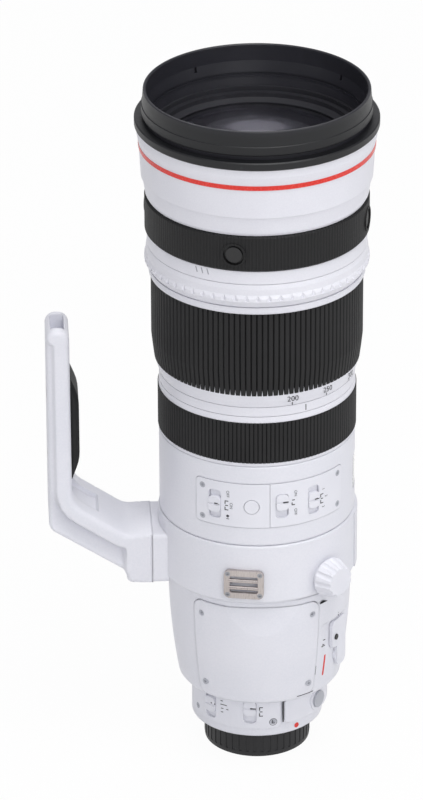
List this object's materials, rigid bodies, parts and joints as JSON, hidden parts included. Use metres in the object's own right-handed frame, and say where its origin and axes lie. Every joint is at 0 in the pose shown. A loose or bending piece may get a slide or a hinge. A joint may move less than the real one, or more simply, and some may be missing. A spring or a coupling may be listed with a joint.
{
  "type": "tele zoom camera lens",
  "caption": "Large white tele zoom lens standing on its rear cap, with turning zoom, focus and preset rings, a tripod collar with foot and a swing-in extender.",
  "frame": {"origin": "middle of the flat bottom of the rear cap, on the optical axis", "axes": "+Z along the optical axis to the front of the lens, +X the top of the lens, -X the tripod foot, -Y the side with the switches"},
  "size_m": [0.1754, 0.1274, 0.3825],
  "materials": {
    "white_paint": "satin sprayed paint on magnesium and aluminium castings",
    "white_plastic": "moulded, painted",
    "black_metal": "matt black anodised",
    "black_rubber": "ribbed, matt",
    "black_plastic": "moulded",
    "red_paint": "gloss",
    "glass": "coated optical glass",
    "clear_window": "clear moulding",
    "inner_metal": "black anodised",
    "bare_aluminium": "machined",
    "steel": "brushed stainless",
    "screw_steel": "plated",
    "grey_plastic": "moulded",
    "board": "laminate"
  },
  "bodies": {
    "barrel": {"hood_mount_ring": "black_metal", "front_barrel": "white_paint", "red_ring": "red_paint", "front_lens_cell": "inner_metal", "front_glass": "glass", "front_group_glasses": "glass", "front_retaining_ring": "black_metal", "focus_stop_ring": "black_rubber", "index_rings": "white_paint", "main_tube": "inner_metal", "switch_barrel": "white_paint", "rear_housing": "white_paint", "extender_cover": "white_paint", "cover_screws": "screw_steel", "panel_screws": "screw_steel", "focus_switch_panel": "white_plastic", "stabiliser_switch_panel": "white_plastic", "distance_window": "clear_window", "stabiliser_unit": "inner_metal", "iris_unit": "inner_metal", "relay_group": "inner_metal", "extender_frame": "bare_aluminium", "main_board": "board", "rear_chassis": "inner_metal", "rear_switch_panel": "white_plastic", "bayonet_mount": "steel", "mount_screws": "screw_steel", "contact_block": "black_plastic"},
    "collar": {"tripod_collar": "white_paint", "foot": "white_paint", "foot_grip": "black_rubber", "foot_screws": "screw_steel", "foot_bushes": "steel", "strap_lugs": "steel", "lug_screws": "screw_steel"},
    "lock_knob": {"collar_lock_knob": "white_plastic"},
    "preset_ring": {"preset_ring": "white_paint"},
    "zoom_ring": {"zoom_ring": "white_paint", "zoom_ring_rubber": "black_rubber"},
    "zoom_group": {"zoom_lens_group": "inner_metal"},
    "focus_ring": {"focus_ring": "white_paint", "focus_ring_rubber": "black_rubber"},
    "focus_group": {"focus_lens_group": "inner_metal"},
    "scale_drum": {"distance_scale_drum": "black_plastic"},
    "extender_lever": {"extender_lever": "white_plastic"},
    "lever_lock": {"lever_lock_button": "black_plastic"},
    "extender_carrier": {"extender_carrier": "inner_metal"},
    "focus_preset_switch": {"focus_preset_switch": "white_plastic"},
    "stabiliser_switch": {"stabiliser_switch": "white_plastic"},
    "stabiliser_mode_switch": {"stabiliser_mode_switch": "white_plastic"},
    "focus_mode_switch": {"focus_mode_switch": "white_plastic"},
    "distance_limit_switch": {"distance_limit_switch": "white_plastic"},
    "set_button": {"preset_set_button": "white_plastic"},
    "filter_holder": {"filter_holder": "white_plastic"},
    "filter_release": {"filter_release_button": "grey_plastic"},
    "rear_cap": {"rear_cap": "black_plastic"},
    "focus_stop_button_1": {"focus_stop_button_1": "black_plastic"},
    "focus_stop_button_2": {"focus_stop_button_2": "black_plastic"},
    "focus_stop_button_3": {"focus_stop_button_3": "black_plastic"},
    "focus_stop_button_4": {"focus_stop_button_4": "black_plastic"}
  },
  "joints": [
    {"name": "focus_stop_press_1", "type": "slide", "parent": "barrel", "child": "focus_stop_button_1", "axis": [-0.2622, -0.965, 0], "range_m": [-0.0005, 0], "stiffness_N_per_m": 500},
    {"name": "focus_stop_press_2", "type": "slide", "parent": "barrel", "child": "focus_stop_button_2", "axis": [0.965, -0.2622, 0], "range_m": [-0.0005, 0], "stiffness_N_per_m": 500},
    {"name": "focus_stop_press_3", "type": "slide", "parent": "barrel", "child": "focus_stop_button_3", "axis": [0.2622, 0.965, 0], "range_m": [-0.0005, 0], "stiffness_N_per_m": 500},
    {"name": "focus_stop_press_4", "type": "slide", "parent": "barrel", "child": "focus_stop_button_4", "axis": [-0.965, 0.2622, 0], "range_m": [-0.0005, 0], "stiffness_N_per_m": 500},
    {"name": "preset_ring_turn", "type": "hinge", "parent": "barrel", "child": "preset_ring", "pos_m": [0, 0, 0.29], "axis": [0, 0, 1], "range_deg": [-12, 12], "stiffness_Nm_per_rad": 0.6},
    {"name": "zoom_ring_turn", "type": "hinge", "parent": "barrel", "child": "zoom_ring", "pos_m": [0, 0, 0.25], "axis": [0, 0, 1], "range_deg": [-19.3, 72.9]},
    {"name": "zoom_group_travel", "type": "slide", "parent": "barrel", "child": "zoom_group", "axis": [0, 0, 1], "range_m": [-0.0106, 0.0396]},
    {"name": "focus_ring_turn", "type": "hinge", "parent": "barrel", "child": "focus_ring", "pos_m": [0, 0, 0.2], "axis": [0, 0, 1], "range_deg": [0, 120]},
    {"name": "focus_group_travel", "type": "slide", "parent": "barrel", "child": "focus_group", "axis": [0, 0, 1], "range_m": [0, 0.0121]},
    {"name": "scale_drum_turn", "type": "hinge", "parent": "barrel", "child": "scale_drum", "pos_m": [0, 0, 0.164], "axis": [0, 0, 1], "range_deg": [-35.1, 0]},
    {"name": "collar_turn", "type": "hinge", "parent": "barrel", "child": "collar", "pos_m": [0, 0, 0.124], "axis": [0, 0, 1], "continuous": true},
    {"name": "collar_lock_turn", "type": "hinge", "parent": "collar", "child": "lock_knob", "pos_m": [0.03767, -0.0441, 0.1172], "axis": [0.6494, -0.7604, 0], "range_deg": [0, 300]},
    {"name": "extender_lever_turn", "type": "hinge", "parent": "barrel", "child": "extender_lever", "pos_m": [0.03995, -0.02477, 0.061], "axis": [0.8499, -0.527, 0], "range_deg": [0, 50]},
    {"name": "lever_lock_press", "type": "slide", "parent": "extender_lever", "child": "lever_lock", "axis": [0.8499, -0.527, 0], "range_m": [-0.0005, 0], "stiffness_N_per_m": 300},
    {"name": "extender_swing", "type": "hinge", "parent": "barrel", "child": "extender_carrier", "pos_m": [-0.02121, -0.02121, 0.071], "axis": [0, 0, 1], "range_deg": [0, 60]},
    {"name": "focus_preset_switch_slide", "type": "slide", "parent": "barrel", "child": "focus_preset_switch", "axis": [0, 0, 1], "range_m": [-0.0035, 0.0035]},
    {"name": "stabiliser_switch_slide", "type": "slide", "parent": "barrel", "child": "stabiliser_switch", "axis": [0, 0, 1], "range_m": [-0.0045, 0]},
    {"name": "stabiliser_mode_switch_slide", "type": "slide", "parent": "barrel", "child": "stabiliser_mode_switch", "axis": [0, 0, 1], "range_m": [-0.0035, 0.0035]},
    {"name": "focus_mode_switch_slide", "type": "slide", "parent": "barrel", "child": "focus_mode_switch", "axis": [0, 0, 1], "range_m": [-0.0045, 0]},
    {"name": "distance_limit_switch_slide", "type": "slide", "parent": "barrel", "child": "distance_limit_switch", "axis": [0, 0, 1], "range_m": [-0.0035, 0.0035]},
    {"name": "set_button_press", "type": "slide", "parent": "barrel", "child": "set_button", "axis": [-0.1132, -0.9936, 0], "range_m": [-0.0006, 0], "stiffness_N_per_m": 500},
    {"name": "filter_holder_slide", "type": "slide", "parent": "barrel", "child": "filter_holder", "axis": [0.8141, -0.5807, 0], "range_m": [0, 0.045]},
    {"name": "filter_release_press", "type": "slide", "parent": "filter_holder", "child": "filter_release", "axis": [0.8141, -0.5807, 0], "range_m": [-0.0006, 0], "stiffness_N_per_m": 500},
    {"name": "rear_cap_turn", "type": "hinge", "parent": "barrel", "child": "rear_cap", "pos_m": [0, 0, 0.008], "axis": [0, 0, 1], "range_deg": [0, 60]}
  ],
  "couplings": [
    {"joint": "zoom_group_travel", "follows": "zoom_ring_turn", "m_per_rad": 0.031},
    {"joint": "focus_group_travel", "follows": "focus_ring_turn", "m_per_rad": 0.00573},
    {"joint": "scale_drum_turn", "follows": "focus_ring_turn", "ratio": -0.2917},
    {"joint": "extender_swing", "follows": "extender_lever_turn", "ratio": 1.2}
  ]
}
